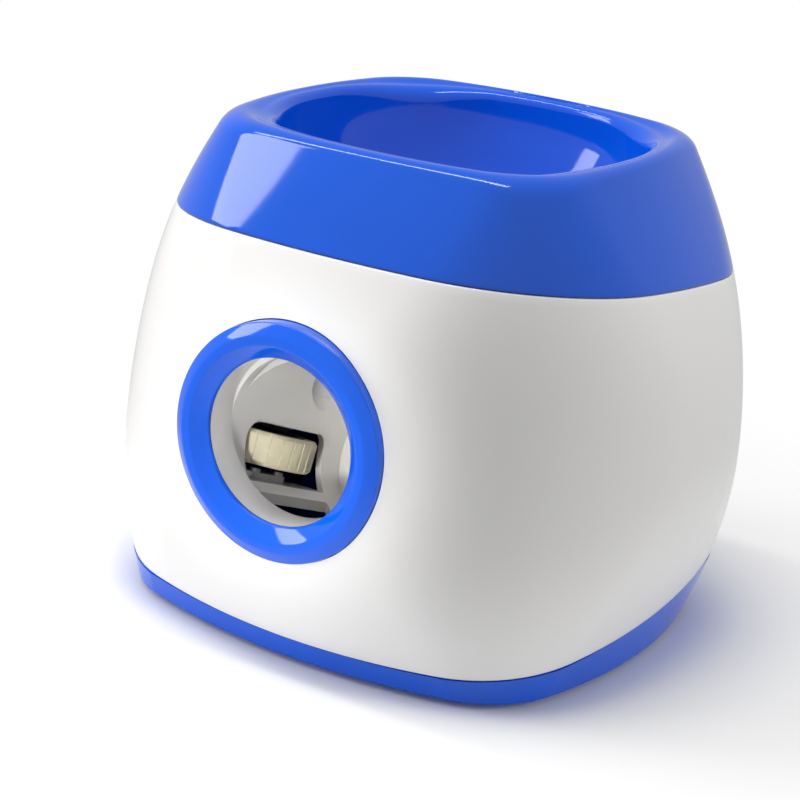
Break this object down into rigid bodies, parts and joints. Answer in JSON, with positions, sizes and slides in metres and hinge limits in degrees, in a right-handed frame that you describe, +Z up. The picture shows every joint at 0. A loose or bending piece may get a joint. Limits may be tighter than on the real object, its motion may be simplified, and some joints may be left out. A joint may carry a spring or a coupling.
{
  "type": "automatic dog ball launcher",
  "caption": "Drum-shaped automatic ball launcher with an open hopper bowl on top, a feed gate, side flywheels in a tilted barrel and a round ringed front port.",
  "frame": {"origin": "bottom centre of the footprint, on the plane that the rubber feet rest on", "axes": "+Z up, the port faces -Y, +X is to the right when looking along +Y at the port"},
  "size_m": [0.2296, 0.2185, 0.189],
  "materials": {
    "blue_abs": "gloss",
    "white_abs": "gloss",
    "inner_abs": "satin",
    "cream_urethane": "satin",
    "grey_nylon": "satin",
    "motor_steel": "satin",
    "zinc_steel": "satin",
    "acetal": "satin",
    "black_abs": "satin",
    "board_green": "satin",
    "rubber_grey": "matte",
    "lens_clear": "gloss",
    "contact_nickel": "satin"
  },
  "bodies": {
    "casing": {"base_pan": "blue_abs", "body_shell": "white_abs", "hopper": "blue_abs", "port_ring": "blue_abs", "launch_barrel": "inner_abs", "feed_chute": "inner_abs", "drive_motor_left": "motor_steel", "drive_motor_right": "motor_steel", "motor_plate_left": "zinc_steel", "motor_plate_right": "zinc_steel", "motor_screws": "zinc_steel", "reducer_pin": "zinc_steel", "feed_motor": "motor_steel", "gear_plate": "zinc_steel", "rear_panel": "white_abs", "power_switch": "black_abs", "indicator_lenses": "lens_clear", "dc_jack": "black_abs", "control_board": "board_green", "board_screws": "zinc_steel", "ball_switch": "black_abs", "battery_contacts": "contact_nickel", "rubber_feet": "rubber_grey", "base_screws": "zinc_steel", "cap_screws": "zinc_steel", "barrel_screws": "zinc_steel", "plate_screws": "zinc_steel"},
    "flywheel_left": {"flywheel_hub_left": "grey_nylon", "flywheel_tread_left": "cream_urethane", "motor_shaft_left": "zinc_steel"},
    "flywheel_right": {"flywheel_hub_right": "grey_nylon", "flywheel_tread_right": "cream_urethane", "motor_shaft_right": "zinc_steel"},
    "gate": {"feed_gate": "acetal", "gate_shaft": "zinc_steel", "gate_gear": "acetal"},
    "reducer": {"reducer_gear": "acetal"},
    "pinion": {"motor_pinion": "contact_nickel", "pinion_shaft": "zinc_steel"},
    "rocker": {"power_rocker": "black_abs"},
    "button": {"range_button": "blue_abs"},
    "lever": {"switch_lever": "contact_nickel"},
    "door": {"battery_door": "blue_abs"}
  },
  "joints": [
    {"name": "flywheel_left_spin", "type": "hinge", "parent": "casing", "child": "flywheel_left", "pos_m": [-0.056, -0.05564, 0.06148], "axis": [0, 0.342, 0.9397], "continuous": true},
    {"name": "flywheel_right_spin", "type": "hinge", "parent": "casing", "child": "flywheel_right", "pos_m": [0.056, -0.05564, 0.06148], "axis": [0, 0.342, 0.9397], "continuous": true},
    {"name": "gate_swing", "type": "hinge", "parent": "casing", "child": "gate", "pos_m": [0.048, -0.036, 0.1], "axis": [0, 0, -1], "range_deg": [0, 60]},
    {"name": "reducer_turn", "type": "hinge", "parent": "casing", "child": "reducer", "pos_m": [0.05983, -0.0219, 0.09], "axis": [0, 0, -1], "range_deg": [-216.5, 0]},
    {"name": "pinion_turn", "type": "hinge", "parent": "casing", "child": "pinion", "pos_m": [0.06903, -0.00597, 0.09], "axis": [0, 0, -1], "range_deg": [0, 778]},
    {"name": "power_rocker_tilt", "type": "hinge", "parent": "casing", "child": "rocker", "pos_m": [-0.026, 0.102, 0.08], "axis": [1, 0, 0], "range_deg": [0, 19]},
    {"name": "range_button_press", "type": "slide", "parent": "casing", "child": "button", "axis": [0, -1, 0], "range_m": [0, 0.002], "stiffness_N_per_m": 400},
    {"name": "ball_lever_press", "type": "hinge", "parent": "casing", "child": "lever", "pos_m": [0, -0.04441, 0.02802], "axis": [1, 0, 0], "range_deg": [0, 10], "stiffness_Nm_per_rad": 0.01},
    {"name": "battery_door_slide", "type": "slide", "parent": "casing", "child": "door", "axis": [0, 1, 0], "range_m": [0, 0.005]}
  ],
  "couplings": [
    {"joint": "reducer_turn", "follows": "gate_swing", "ratio": -3.6},
    {"joint": "pinion_turn", "follows": "gate_swing", "ratio": 12.96}
  ]
}
